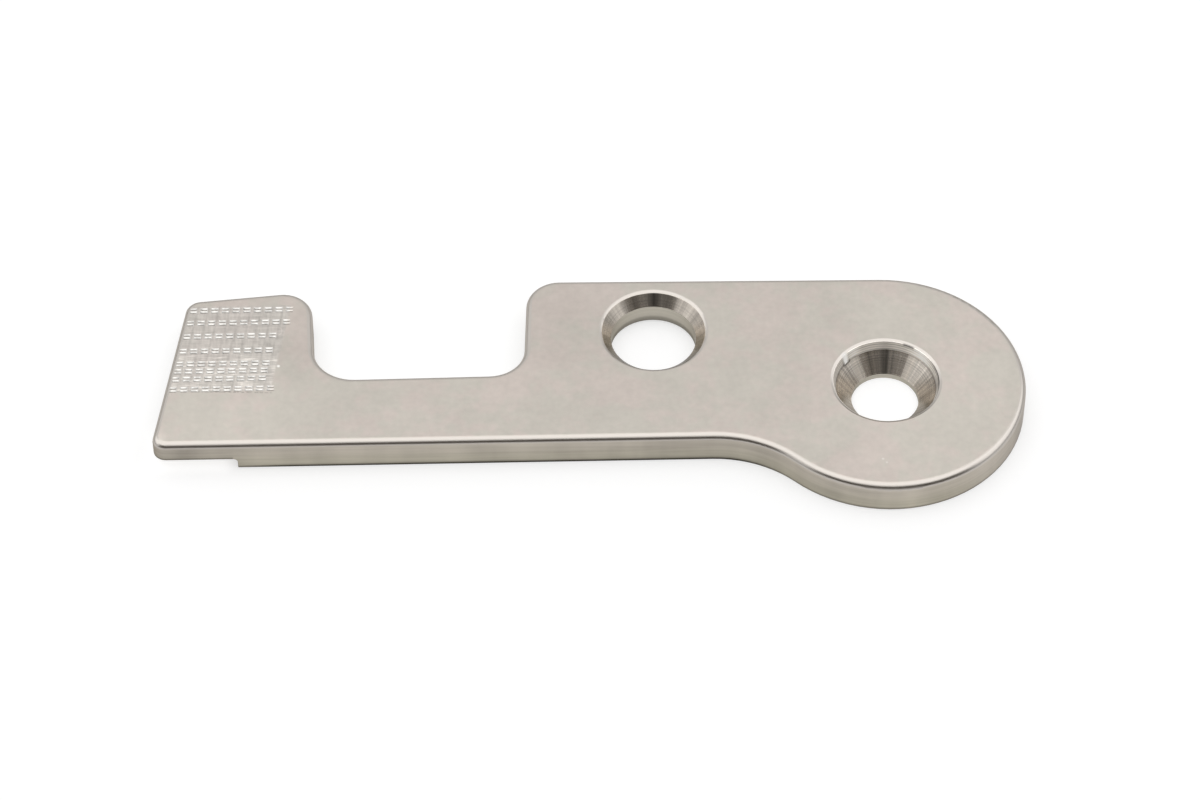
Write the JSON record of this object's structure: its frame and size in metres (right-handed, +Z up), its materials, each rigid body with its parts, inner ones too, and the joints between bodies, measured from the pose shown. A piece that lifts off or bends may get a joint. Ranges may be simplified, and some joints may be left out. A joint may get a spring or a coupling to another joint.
{
  "type": "gripper plate",
  "caption": "Flat steel gripper plate: a round lobe with a recessed countersunk hole, a straight arm with a second countersunk hole, a deep notch, and a jaw with a slotted grip.",
  "frame": {"origin": "on the axis of the lobe's screw hole, at the underside", "axes": "+X along the arm towards the lobe, +Y from the near edge to the edge with the notch, +Z up through the plate towards the countersunk face"},
  "size_m": [0.0748, 0.0243, 0.003],
  "materials": {
    "satin_steel": "satin, tumbled, with bright rounded edges"
  },
  "bodies": {
    "root": {"gripper_plate": "satin_steel"}
  },
  "joints": []
}
